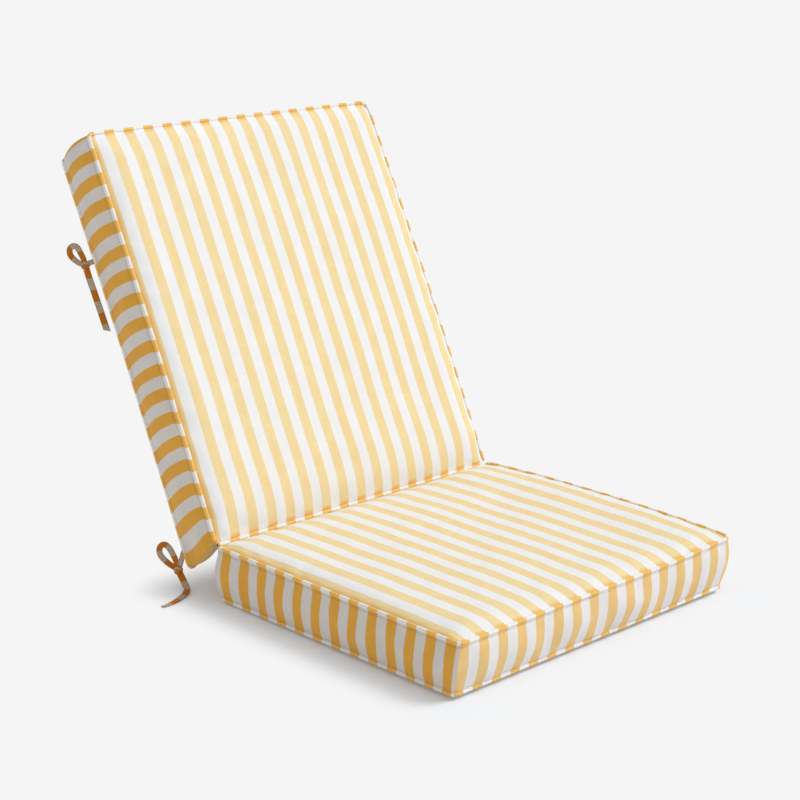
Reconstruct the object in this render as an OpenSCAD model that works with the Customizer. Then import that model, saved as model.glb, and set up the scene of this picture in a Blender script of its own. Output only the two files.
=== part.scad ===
// High-back chair cushion: a box seat pad and a box back pad, both piped, hinged along one piped seam.
// Row frame: +Z up, front of the seat towards -Y, origin at the centre of the seat's flat underside.
//
// Each pad is drawn in its own pad frame: X across, Y away from the hinge line, Z out of the face,
// with the hinge line at Y = 0, Z = 0. on_seat() and on_back() put a pad frame in its place.

/* [Overall size] */
// Width of both pads, between the centre lines of the side piping
pad_width = 508; // [420:1:600]
// Seat depth, from the front piping to the hinge line
seat_depth = 450; // [380:1:560]
// Back length, from the hinge line to the top piping
back_length = 575; // [450:1:700]
// Seat thickness, from the floor to the face
seat_thick = 78; // [66:1:100]
// Back thickness, from the face to the rear
back_thick = 80; // [66:1:100]
// Lean of the back from upright, in degrees
lean = 26; // [10:1:45]

/* [Cover] */
// Thickness of the cover cloth with its backing
cloth = 1.2; // [0.8:0.1:1.6]
// Outer diameter of the piping
welt_d = 6; // [5:0.5:7]
// Diameter of the cord inside the piping
welt_cord_d = 3.4; // [2.5:0.1:3.6]
// Radius of the piping's centre line at a pad's corner
corner_r = 6; // [6:1:12]
// Distance from the piping to the raised field of a panel
field_inset = 12; // [8:1:20]
// Distance from the hinge line to each pad's hinge-side wall
hinge_gap = 6; // [6:0.5:9]

/* [Filling] */
// Thickness of the fibre wrap on the seat foam
seat_wrap = 5; // [3:1:10]
// Thickness of the fibre wrap on the back foam
back_wrap = 15; // [6:1:20]

/* [Zip] */
// Distance from the piping at each side to the end of the zip's teeth
zip_margin = 48; // [30:1:80]
// Width of one tape
tape_width = 12; // [9:0.5:14]
// Length of the pull tab
pull_length = 20; // [14:1:24]

/* [Ties] */
// Distance from the hinge line to the upper ties
upper_tie_at = 417; // [300:1:420]
// Direction in which the ties leave the corner, from the pad's width, in degrees
tie_turn = 42; // [30:1:60]
// Width of the folded tie tape
tie_width = 9; // [7:0.5:11]
// Thickness of the folded tie tape
tie_thick = 2.6; // [2:0.1:4]

/* [Hidden] */

eps = 0.05;
half_w = pad_width / 2;
hinge_y = seat_depth / 2;
// room left between neighbours that are never sewn together
room = 0.3;
// the piping's sleeve of cloth and the cord in it
welt_r = welt_d / 2;
cord_r = welt_cord_d / 2;
welt_bore_r = cord_r + 0.2;
// the side piping of each face starts just clear of the hinge piping
face_welt_start = welt_r + room;
// half of the cloth's thickness, because each sheet is centred on the piping's centre line
half_cloth = cloth / 2;
// the fill stops this far inside the walls, clear of the piping and the zip
zip_room = 3.5;
side_clear = welt_r + room;
hinge_clear = hinge_gap + zip_room;
face_clear = welt_r + half_cloth + 0.2;
// the hinge piping's wall meets the edge of the seat's top panel here
hinge_seam = sqrt(pow(welt_r, 2) - pow(welt_r - half_cloth, 2)) + eps;
// the back's panel stops this much further from the hinge piping than the seat's
flap_gap = 0.6;

// zip, measured outwards from the boxing's outer face
zip_half = half_w - zip_margin;
slot_half = 3.2;
slot_margin = 4;
zip_slot = 2 * (zip_half + slot_margin);
tape_thick = 0.6;
chain_gap = 0.8;
coil_width = 2.3;
coil_out = 0.6;
stop_length = 3;
stop_step = 0.2;
slider_length = 11;
slider_width = 8.4;
plate_thick = 1;
top_plate_at = 0.9;
bottom_plate_at = -3.2;
web_thick = 0.4;
web_length = 4;
bail_at = 3.4;
bail_r = 0.55;
bail_span = 8;
bail_foot = 1.2;
eye_r = 1.35;
eye_bore_r = 0.62;
pull_width = 4.6;
pull_thick = 0.9;
slider_from_end = 8;
slider_at = zip_half - slider_from_end;

// tie bow, in the tie frame: X out of the corner, Y along the seam, Z towards the pad
knot_r = 5.6;
loop_tube_r = 3.2;
loop_bend_r = 5.6;
loop_length = 19;
loop_lean = 15;
loop_lift = 1;
root_r = 2.2;
upper_knot = [13, 0, 0];
lower_knot = [16, -21, 5.5];
// the upper tail hangs along the seam in the tie frame; the lower one curls on the floor in the row frame
upper_tail = [
    [13, -4, 0], [13, -20, 0.5], [12.5, -38, 1], [12, -56, 1], [11.5, -74, 0.5], [11, -94, 0]
];
lower_tail = [
    [-262, 299, 22], [-262, 293, 15], [-263, 285, 8], [-268, 275, 5], [-279, 266, 3.5],
    [-294, 259, 3], [-310, 254, 3], [-326, 252, 3]
];
tail_sides = 8;
// the way that each tail's flat face looks at its knot and at its end
upper_face = [0, 0, -1];
lower_face = [-0.5, -0.7, 0.3];
lower_end_face = [0, 0, 1];

gold = [0.95, 0.76, 0.38];
ivory = [0.95, 0.94, 0.91];
tape_tan = [0.72, 0.48, 0.22];
foam_cream = [0.93, 0.88, 0.72];
fibre_white = [0.97, 0.97, 0.97];
cord_white = [0.9, 0.89, 0.86];
metal_grey = [0.6, 0.6, 0.62];

// ---- places ----

module on_seat() {
    translate([0, hinge_y, seat_thick]) mirror([0, 1, 0]) children();
}

module on_back() {
    translate([0, hinge_y, seat_thick]) rotate([90 - lean, 0, 0]) children();
}

// a box given by its two corners
module box(low, high) {
    translate(low) cube(high - low);
}

// ---- filling ----

module foam_core(length, thick, wrap) {
    box([-half_w + side_clear, hinge_clear, -thick + face_clear + wrap],
        [half_w - side_clear, length - side_clear - wrap, -face_clear - wrap]);
}

// batting folded round the foam from the hinge side, open at both ends
module fibre_wrap(length, thick, wrap) {
    difference() {
        box([-half_w + side_clear, hinge_clear, -thick + face_clear],
            [half_w - side_clear, length - side_clear, -face_clear]);
        box([-half_w, hinge_clear - 1, -thick + face_clear + wrap],
            [half_w, length - side_clear - wrap, -face_clear - wrap]);
    }
}

// ---- cover cloth ----

// a rectangle from y0 to y1 with round corners at its far end, and at its near end if both is true
module rounded_plate(half_x, y0, y1, r, both) {
    near_r = both ? r : 0;
    translate([-half_x, y0 + near_r]) square([2 * half_x, y1 - y0 - r - near_r]);
    translate([-half_x + r, y0]) square([2 * (half_x - r), y1 - y0]);
    for (side = [-1, 1]) {
        translate([side * (half_x - r), y1 - r]) circle(r = r, $fn = 48);
        if (both) translate([side * (half_x - r), y0 + r]) circle(r = r, $fn = 48);
    }
}

// sewn edge strip in the piping's plane, with a raised field out to the face at Z = 0
module panel(half_x, y0, y1, both, field_y0) {
    edge_r = corner_r - welt_r + 0.01;
    translate([0, 0, -welt_r - half_cloth])
        linear_extrude(cloth)
            rounded_plate(half_x, y0, y1, edge_r, both);
    translate([0, 0, -welt_r + half_cloth])
        linear_extrude(welt_r - half_cloth)
            rounded_plate(half_x - field_inset, field_y0, y1 - field_inset, edge_r, true);
}

// panel on the hinge side, from the hinge piping to the far piping
module face_panel(length, y0) {
    panel(half_w - welt_r, y0, length - welt_r, false, hinge_gap + field_inset);
}

// panel on the other side, inside its closed ring of piping
module under_panel(length, thick) {
    translate([0, 0, -thick]) mirror([0, 0, 1])
        panel(half_w - welt_r, hinge_gap + welt_r, length - welt_r, true, hinge_gap + welt_r + field_inset);
}

module far_boxing(length, thick) {
    box([-half_w - half_cloth, length - half_cloth, -thick + welt_d],
        [half_w + half_cloth, length + half_cloth, -welt_d]);
}

module side_boxing(length, thick, side) {
    translate([side * half_w, 0, 0])
        box([-half_cloth, hinge_gap + half_cloth, -thick + welt_d],
            [half_cloth, length - half_cloth, -welt_d]);
}

// one of the two strips beside the zip; part is 1 for the strip at the face and -1 for the other
module zip_boxing(thick, part) {
    middle = -thick / 2;
    edge = part > 0 ? -welt_d : -thick + welt_d;
    difference() {
        union() {
            box([-half_w - half_cloth, hinge_gap - half_cloth, min(middle, edge)],
                [half_w + half_cloth, hinge_gap + half_cloth, max(middle, edge)]);
            if (part > 0)
                box([-half_w + side_clear, hinge_gap - half_cloth, edge - eps],
                    [half_w - side_clear, hinge_gap + half_cloth, -welt_r - half_cloth]);
        }
        box([-zip_slot / 2, hinge_gap - cloth, middle - slot_half],
            [zip_slot / 2, hinge_gap + cloth, middle + slot_half]);
    }
}

// ---- piping ----

module ring_section(outer_r, inner_r) {
    difference() {
        circle(r = outer_r, $fn = 48);
        if (inner_r > 0) circle(r = inner_r, $fn = 48);
    }
}

// straight length along Y, from y0 to y1
module run_y(x, y0, y1, outer_r, inner_r) {
    translate([x, y1, 0]) rotate([90, 0, 0])
        linear_extrude(y1 - y0) ring_section(outer_r, inner_r);
}

// straight length along X, centred
module run_x(y, length, outer_r, inner_r) {
    translate([-length / 2, y, 0]) rotate([90, 0, 90])
        linear_extrude(length) ring_section(outer_r, inner_r);
}

// quarter bend round a corner's centre
module bend(x, y, start, outer_r, inner_r) {
    translate([x, y, 0]) rotate([0, 0, start])
        rotate_extrude(angle = 90, $fn = 96)
            translate([corner_r, 0]) ring_section(outer_r, inner_r);
}

// three sides, open at the hinge
module open_run(length, y0, outer_r, inner_r) {
    side_x = half_w - corner_r;
    far_y = length - corner_r;
    run_x(length, 2 * side_x, outer_r, inner_r);
    bend(side_x, far_y, 0, outer_r, inner_r);
    bend(-side_x, far_y, 90, outer_r, inner_r);
    for (side = [-1, 1]) run_y(side * half_w, y0, far_y, outer_r, inner_r);
}

// all four sides
module closed_run(length, outer_r, inner_r) {
    side_x = half_w - corner_r;
    near_y = hinge_gap + corner_r;
    open_run(length, near_y, outer_r, inner_r);
    run_x(hinge_gap, 2 * side_x, outer_r, inner_r);
    bend(-side_x, near_y, 180, outer_r, inner_r);
    bend(side_x, near_y, 270, outer_r, inner_r);
}

module face_welt(length, y0, outer_r, inner_r) {
    translate([0, 0, -welt_r]) open_run(length, y0, outer_r, inner_r);
}

module under_welt(length, thick, outer_r, inner_r) {
    translate([0, 0, -thick + welt_r]) closed_run(length, outer_r, inner_r);
}

// ---- zip, in the wall beside the hinge ----

// a box in the zip frame: x along the zip, q up the wall, o outwards from the wall's outer face
module zip_box(thick, x, q, o) {
    wall = hinge_gap - half_cloth;
    middle = -thick / 2;
    box([x[0], wall - o[1], middle + q[0]], [x[1], wall - o[0], middle + q[1]]);
}

module zip_tapes(thick) {
    for (side = [-1, 1]) {
        inner = side * chain_gap / 2;
        outer = side * (chain_gap / 2 + tape_width);
        zip_box(thick, [-zip_half - stop_length, zip_half + stop_length],
                [min(inner, outer), max(inner, outer)], [-cloth - tape_thick, -cloth]);
    }
}

module zip_coils(thick) {
    for (side = [-1, 1]) {
        inner = side * chain_gap / 2;
        outer = side * (chain_gap / 2 + coil_width);
        zip_box(thick, [-zip_half, zip_half], [min(inner, outer), max(inner, outer)], [-cloth, coil_out]);
    }
}

module zip_stops(thick) {
    for (x = [-zip_half - stop_length, zip_half])
        zip_box(thick, [x, x + stop_length], [-slot_half + stop_step, slot_half - stop_step],
                [-cloth, coil_out + stop_step]);
}

// two plates joined by the web that runs between the tapes, and the bail over the top plate
module zip_slider(thick, side) {
    x0 = side * slider_at;
    half_l = slider_length / 2;
    wall = hinge_gap - half_cloth;
    for (o = [bottom_plate_at, top_plate_at])
        zip_box(thick, [x0 - half_l, x0 + half_l], [-slider_width / 2, slider_width / 2],
                [o, o + plate_thick]);
    zip_box(thick, [x0 - web_length / 2, x0 + web_length / 2], [-web_thick / 2, web_thick / 2],
            [bottom_plate_at + plate_thick / 2, top_plate_at + plate_thick / 2]);
    for (end = [-1, 1]) {
        foot = x0 + end * (bail_span + bail_foot) / 2;
        zip_box(thick, [foot - bail_foot / 2, foot + bail_foot / 2], [-bail_r, bail_r],
                [top_plate_at + plate_thick / 2, bail_at + bail_r]);
    }
    translate([x0 - bail_span / 2 - eps, wall - bail_at, -thick / 2]) rotate([0, 90, 0])
        cylinder(r = bail_r, h = bail_span + 2 * eps, $fn = 32);
}

// flat tab hanging towards -Z of the pad frame from the eye round the bail
module zip_pull(thick, side) {
    x0 = side * slider_at;
    wall = hinge_gap - half_cloth;
    tab_half = pull_thick / 2;
    difference() {
        union() {
            translate([x0 - pull_width / 2, wall - bail_at, -thick / 2]) rotate([0, 90, 0])
                cylinder(r = eye_r, h = pull_width, $fn = 48);
            zip_box(thick, [x0 - pull_width / 2, x0 + pull_width / 2], [-pull_length, -eye_bore_r],
                    [bail_at - tab_half, bail_at + tab_half]);
        }
        translate([x0 - pull_width, wall - bail_at, -thick / 2]) rotate([0, 90, 0])
            cylinder(r = eye_bore_r, h = 2 * pull_width, $fn = 48);
    }
}

// ---- ties ----

// the tie frame of a left tie, at a point along the back's rear piping
module at_tie(along) {
    translate([-half_w, along, -back_thick + welt_r]) rotate([0, 180 - tie_turn, 0]) children();
}

module rod(from, to, r) {
    d = to - from;
    run = norm(d);
    turn = atan2(norm([d[0], d[1]]), d[2]);
    translate(from) rotate([0, turn, atan2(d[1], d[0])]) cylinder(r = r, h = run, $fn = 32);
}

// a root from the piping, a knot, and one loop standing up out of the knot
module tie_bow(knot) {
    way = knot / norm(knot);
    rod(way * (welt_r + eps), knot, root_r);
    translate(knot) {
        sphere(r = knot_r, $fn = 48);
        rotate([0, 0, -loop_lean]) translate([loop_bend_r / 2, loop_bend_r + loop_lift, 0]) {
            for (side = [-1, 1])
                rod([side * loop_bend_r, 0, 0], [side * loop_bend_r, loop_length, 0], loop_tube_r);
            translate([0, loop_length, 0])
                rotate_extrude(angle = 180, $fn = 64)
                    translate([loop_bend_r, 0]) circle(r = loop_tube_r, $fn = 32);
            rotate([0, 0, 180])
                rotate_extrude(angle = 180, $fn = 64)
                    translate([loop_bend_r, 0]) circle(r = loop_tube_r, $fn = 32);
        }
    }
}

function unit(v) = v / norm(v);
function way_at(path, i) =
    unit(path[min(i + 1, len(path) - 1)] - path[max(i - 1, 0)]);
// the tape's face direction, turned from one vector to the other along the path and kept square to it
function face_at(path, i, first, last) =
    let (t = i / (len(path) - 1), f = first * (1 - t) + last * t, w = way_at(path, i))
    unit(f - (f * w) * w);
function ring_at(path, i, first, last) =
    let (f = face_at(path, i, first, last), s = cross(way_at(path, i), f))
    [for (k = [0 : tail_sides - 1])
        let (a = (k + 0.5) * 360 / tail_sides)
        path[i] + s * (cos(a) * tie_width / 2) + f * (sin(a) * tie_thick / 2)];

// flat tape swept along a path, as one closed polyhedron
module tape(path, first, last) {
    count = len(path);
    points = [for (i = [0 : count - 1]) each ring_at(path, i, first, last)];
    walls = [
        for (i = [0 : count - 2], k = [0 : tail_sides - 1])
            let (n = (k + 1) % tail_sides, a = i * tail_sides, b = a + tail_sides)
            each [[a + k, a + n, b + n], [a + k, b + n, b + k]]
    ];
    start_cap = [for (k = [1 : tail_sides - 2]) [0, k + 1, k]];
    base = (count - 1) * tail_sides;
    end_cap = [for (k = [1 : tail_sides - 2]) [base, base + k, base + k + 1]];
    polyhedron(points = points, faces = concat(walls, start_cap, end_cap), convexity = 4);
}

module upper_bow() {
    color(tape_tan) on_back() at_tie(upper_tie_at) tie_bow(upper_knot);
}

module upper_tail_tape() {
    color(tape_tan) on_back() at_tie(upper_tie_at) tape(upper_tail, upper_face, upper_face);
}

module lower_bow() {
    color(tape_tan) on_back() at_tie(hinge_gap) tie_bow(lower_knot);
}

module lower_tail_tape() {
    color(tape_tan) tape(lower_tail, lower_face, lower_end_face);
}

// ---- seat ----

module seat_foam_core() { color(foam_cream) on_seat() foam_core(seat_depth, seat_thick, seat_wrap); }
module seat_fibre_wrap() { color(fibre_white) on_seat() fibre_wrap(seat_depth, seat_thick, seat_wrap); }
module seat_top_panel() { color(ivory) on_seat() face_panel(seat_depth, hinge_seam); }
module seat_bottom_panel() { color(ivory) on_seat() under_panel(seat_depth, seat_thick); }
module seat_front_boxing() { color(gold) on_seat() far_boxing(seat_depth, seat_thick); }
module seat_left_boxing() { color(gold) on_seat() side_boxing(seat_depth, seat_thick, -1); }
module seat_right_boxing() { color(gold) on_seat() side_boxing(seat_depth, seat_thick, 1); }
module seat_rear_boxing_upper() { color(gold) on_seat() zip_boxing(seat_thick, 1); }
module seat_rear_boxing_lower() { color(gold) on_seat() zip_boxing(seat_thick, -1); }
module seat_top_welt() {
    color(gold) on_seat() face_welt(seat_depth, face_welt_start, welt_r, welt_bore_r);
}
module seat_top_welt_cord() {
    color(cord_white) on_seat() face_welt(seat_depth, face_welt_start, cord_r, 0);
}
module seat_bottom_welt() {
    color(gold) on_seat() under_welt(seat_depth, seat_thick, welt_r, welt_bore_r);
}
module seat_bottom_welt_cord() {
    color(cord_white) on_seat() under_welt(seat_depth, seat_thick, cord_r, 0);
}
module seat_zip_tapes() { color(cord_white) on_seat() zip_tapes(seat_thick); }
module seat_zip_coils() { color(ivory) on_seat() zip_coils(seat_thick); }
module seat_zip_stops() { color(metal_grey) on_seat() zip_stops(seat_thick); }
module seat_zip_slider() { color(metal_grey) on_seat() zip_slider(seat_thick, -1); }
module seat_zip_pull() { color(metal_grey) on_seat() zip_pull(seat_thick, -1); }
module hinge_welt() {
    color(gold) on_seat() run_x(0, pad_width, welt_r, welt_bore_r);
}
module hinge_welt_cord() {
    color(cord_white) on_seat() run_x(0, pad_width, cord_r, 0);
}

// ---- back ----

module back_foam_core() { color(foam_cream) on_back() foam_core(back_length, back_thick, back_wrap); }
module back_fibre_wrap() { color(fibre_white) on_back() fibre_wrap(back_length, back_thick, back_wrap); }
module back_front_panel() { color(ivory) on_back() face_panel(back_length, hinge_seam + flap_gap); }
module back_rear_panel() { color(ivory) on_back() under_panel(back_length, back_thick); }
module back_top_boxing() { color(gold) on_back() far_boxing(back_length, back_thick); }
module back_left_boxing() { color(gold) on_back() side_boxing(back_length, back_thick, -1); }
module back_right_boxing() { color(gold) on_back() side_boxing(back_length, back_thick, 1); }
module back_bottom_boxing_front() { color(gold) on_back() zip_boxing(back_thick, 1); }
module back_bottom_boxing_rear() { color(gold) on_back() zip_boxing(back_thick, -1); }
module back_front_welt() {
    color(gold) on_back() face_welt(back_length, face_welt_start, welt_r, welt_bore_r);
}
module back_front_welt_cord() {
    color(cord_white) on_back() face_welt(back_length, face_welt_start, cord_r, 0);
}
module back_rear_welt() {
    color(gold) on_back() under_welt(back_length, back_thick, welt_r, welt_bore_r);
}
module back_rear_welt_cord() {
    color(cord_white) on_back() under_welt(back_length, back_thick, cord_r, 0);
}
module back_zip_tapes() { color(cord_white) on_back() zip_tapes(back_thick); }
module back_zip_coils() { color(ivory) on_back() zip_coils(back_thick); }
module back_zip_stops() { color(metal_grey) on_back() zip_stops(back_thick); }
module back_zip_slider() { color(metal_grey) on_back() zip_slider(back_thick, 1); }
module back_zip_pull() { color(metal_grey) on_back() zip_pull(back_thick, 1); }

// ---- one line for each node ----

seat_foam_core();
seat_fibre_wrap();
seat_top_panel();
seat_bottom_panel();
seat_front_boxing();
seat_left_boxing();
seat_right_boxing();
seat_rear_boxing_upper();
seat_rear_boxing_lower();
seat_top_welt();
seat_top_welt_cord();
seat_bottom_welt();
seat_bottom_welt_cord();
seat_zip_tapes();
seat_zip_coils();
seat_zip_stops();
seat_zip_slider();
seat_zip_pull();
hinge_welt();
hinge_welt_cord();
back_foam_core();
back_fibre_wrap();
back_front_panel();
back_rear_panel();
back_top_boxing();
back_left_boxing();
back_right_boxing();
back_bottom_boxing_front();
back_bottom_boxing_rear();
back_front_welt();
back_front_welt_cord();
back_rear_welt();
back_rear_welt_cord();
back_zip_tapes();
back_zip_coils();
back_zip_stops();
back_zip_slider();
back_zip_pull();
upper_bow();  // tie_upper_left_bow
upper_tail_tape();  // tie_upper_left_tail
lower_bow();  // tie_lower_left_bow
lower_tail_tape();  // tie_lower_left_tail
mirror([1, 0, 0]) upper_bow();  // tie_upper_right_bow
mirror([1, 0, 0]) upper_tail_tape();  // tie_upper_right_tail
mirror([1, 0, 0]) lower_bow();  // tie_lower_right_bow
mirror([1, 0, 0]) lower_tail_tape();  // tie_lower_right_tail
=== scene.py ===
"""Looks for a hinged seat and high back cushion: striped cloth over foam, piped edges, zips and tied tapes.

Each pad's cover is worked out in its own pad frame: x across, v away from the hinge line, n out of the
face. Pad.place gives a cover its filled shape, a cloth simulation held to a small distance finishes it,
and it is cut into its panels and boxing strips and put in the row frame by the pad's matrix. All lengths
are in metres.
"""

import math

import bmesh
import bpy
import numpy as np
from mathutils import Matrix, Vector


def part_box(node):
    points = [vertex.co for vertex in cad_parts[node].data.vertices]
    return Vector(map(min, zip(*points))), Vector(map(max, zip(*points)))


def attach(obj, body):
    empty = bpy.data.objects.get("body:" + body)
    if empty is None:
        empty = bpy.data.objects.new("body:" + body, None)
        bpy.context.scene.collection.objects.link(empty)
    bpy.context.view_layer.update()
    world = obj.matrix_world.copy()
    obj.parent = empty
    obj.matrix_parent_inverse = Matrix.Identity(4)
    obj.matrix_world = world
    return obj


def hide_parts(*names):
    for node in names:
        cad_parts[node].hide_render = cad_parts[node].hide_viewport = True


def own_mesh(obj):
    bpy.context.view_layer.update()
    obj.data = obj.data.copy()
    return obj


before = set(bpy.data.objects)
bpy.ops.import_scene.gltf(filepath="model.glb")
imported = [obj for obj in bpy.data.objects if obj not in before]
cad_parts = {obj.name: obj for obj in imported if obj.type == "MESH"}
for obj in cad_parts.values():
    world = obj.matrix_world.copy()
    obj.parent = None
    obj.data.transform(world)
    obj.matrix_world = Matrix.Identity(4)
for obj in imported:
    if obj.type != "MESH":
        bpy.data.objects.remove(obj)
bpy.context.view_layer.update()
MM = 0.001

# ---- sizes, read from the frame where it holds them ----

hinge_low, hinge_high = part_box("hinge_welt")
HALF_W = hinge_high.x
HINGE = (hinge_low + hinge_high) / 2
WELT_R = (hinge_high.z - hinge_low.z) / 2
LEAN = math.radians(26)
SEAT_DEPTH = HINGE.y - sum(corner.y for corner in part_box("seat_front_boxing")) / 2
SEAT_THICK = HINGE.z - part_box("seat_bottom_panel")[0].z
BACK_LENGTH = 575 * MM
BACK_THICK = 80 * MM
HINGE_GAP = 6 * MM
CORNER_R = 6 * MM
CLOTH = 1.0 * MM
ZIP_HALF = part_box("seat_zip_coils")[1].x
SLOT_HALF_X = ZIP_HALF + 4 * MM
SLOT_HALF_N = 3.2 * MM

SEAT_FRAME = Matrix(((1, 0, 0, 0), (0, -1, 0, HINGE.y), (0, 0, 1, HINGE.z), (0, 0, 0, 1)))
SIN, COS = math.sin(LEAN), math.cos(LEAN)
BACK_FRAME = Matrix(((1, 0, 0, 0), (0, SIN, -COS, HINGE.y), (0, COS, SIN, HINGE.z), (0, 0, 0, 1)))


# ---- camera ----

def add_camera():
    """Looks at the cushion from its front left, a little from above."""
    azimuth, elevation, distance = math.radians(-43.68), math.radians(16.18), 2.867
    target = Vector((0.0789, 0.225, 0.2108))
    back = Vector((math.sin(azimuth) * math.cos(elevation),
                   -math.cos(azimuth) * math.cos(elevation), math.sin(elevation)))
    camera = bpy.data.objects.new("camera", bpy.data.cameras.new("camera"))
    camera.data.lens = 91.6
    camera.data.sensor_width = 36
    camera.data.clip_end = 60
    camera.location = target + back * distance
    camera.rotation_mode = "QUATERNION"
    camera.rotation_quaternion = (-back).to_track_quat("-Z", "Y")
    bpy.context.scene.collection.objects.link(camera)
    bpy.context.scene.camera = camera


add_camera()

# ---- shader helpers ----


class Tree:
    """A material's nodes, added by short calls that return output sockets."""

    def __init__(self, name):
        self.material = bpy.data.materials.new(name)
        self.material.use_nodes = True
        self.nodes = self.material.node_tree.nodes
        self.links = self.material.node_tree.links
        self.shader = self.nodes["Principled BSDF"]

    def put(self, socket, value):
        if isinstance(value, bpy.types.NodeSocket):
            self.links.new(value, socket)
        else:
            socket.default_value = value

    def add(self, kind, inputs=(), **settings):
        node = self.nodes.new(kind)
        for key, value in settings.items():
            setattr(node, key, value)
        for key, value in dict(inputs).items():
            self.put(node.inputs[key], value)
        return node

    def maths(self, operation, a, b=0.0, c=0.0):
        node = self.add("ShaderNodeMath", {0: a, 1: b, 2: c}, operation=operation)
        return node.outputs[0]

    def ramp(self, value, low, high, to_low=0.0, to_high=1.0, smooth=False):
        node = self.add("ShaderNodeMapRange", {0: value, 1: low, 2: high, 3: to_low, 4: to_high})
        node.interpolation_type = "SMOOTHSTEP" if smooth else "LINEAR"
        return node.outputs[0]

    def mix(self, factor, a, b):
        node = self.add("ShaderNodeMix", data_type="RGBA")
        for socket, value in ((node.inputs[0], factor), (node.inputs[6], a), (node.inputs[7], b)):
            self.put(socket, value)
        return node.outputs[2]

    def noise(self, vector, scale, detail=2.0, rough=0.5):
        values = {"Vector": vector, "Scale": scale, "Detail": detail, "Roughness": rough}
        return self.add("ShaderNodeTexNoise", values).outputs["Fac"]

    def point(self, x, y, z=0.0):
        return self.add("ShaderNodeCombineXYZ", {0: x, 1: y, 2: z}).outputs[0]

    def bump(self, height, strength, distance):
        node = self.add("ShaderNodeBump", {"Strength": strength, "Distance": distance, "Height": height})
        self.put(self.shader.inputs["Normal"], node.outputs[0])

    def finish(self, colour, rough, sheen=0.0, metal=0.0, specular=0.5):
        self.put(self.shader.inputs["Base Color"], colour)
        self.put(self.shader.inputs["Roughness"], rough)
        self.shader.inputs["Sheen Weight"].default_value = sheen
        self.shader.inputs["Sheen Roughness"].default_value = 0.5
        self.shader.inputs["Metallic"].default_value = metal
        self.shader.inputs["Specular IOR Level"].default_value = specular
        return self.material


def rgb(red, green, blue):
    """A shader colour from the sRGB values that a screen shows, 0 to 255."""
    def linear(value):
        value /= 255
        return value / 12.92 if value <= 0.04045 else ((value + 0.055) / 1.055) ** 2.4
    return (linear(red), linear(green), linear(blue), 1.0)


# ---- materials ----

STRIPE = 33 * MM
THREAD = 1.3 * MM


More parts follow.
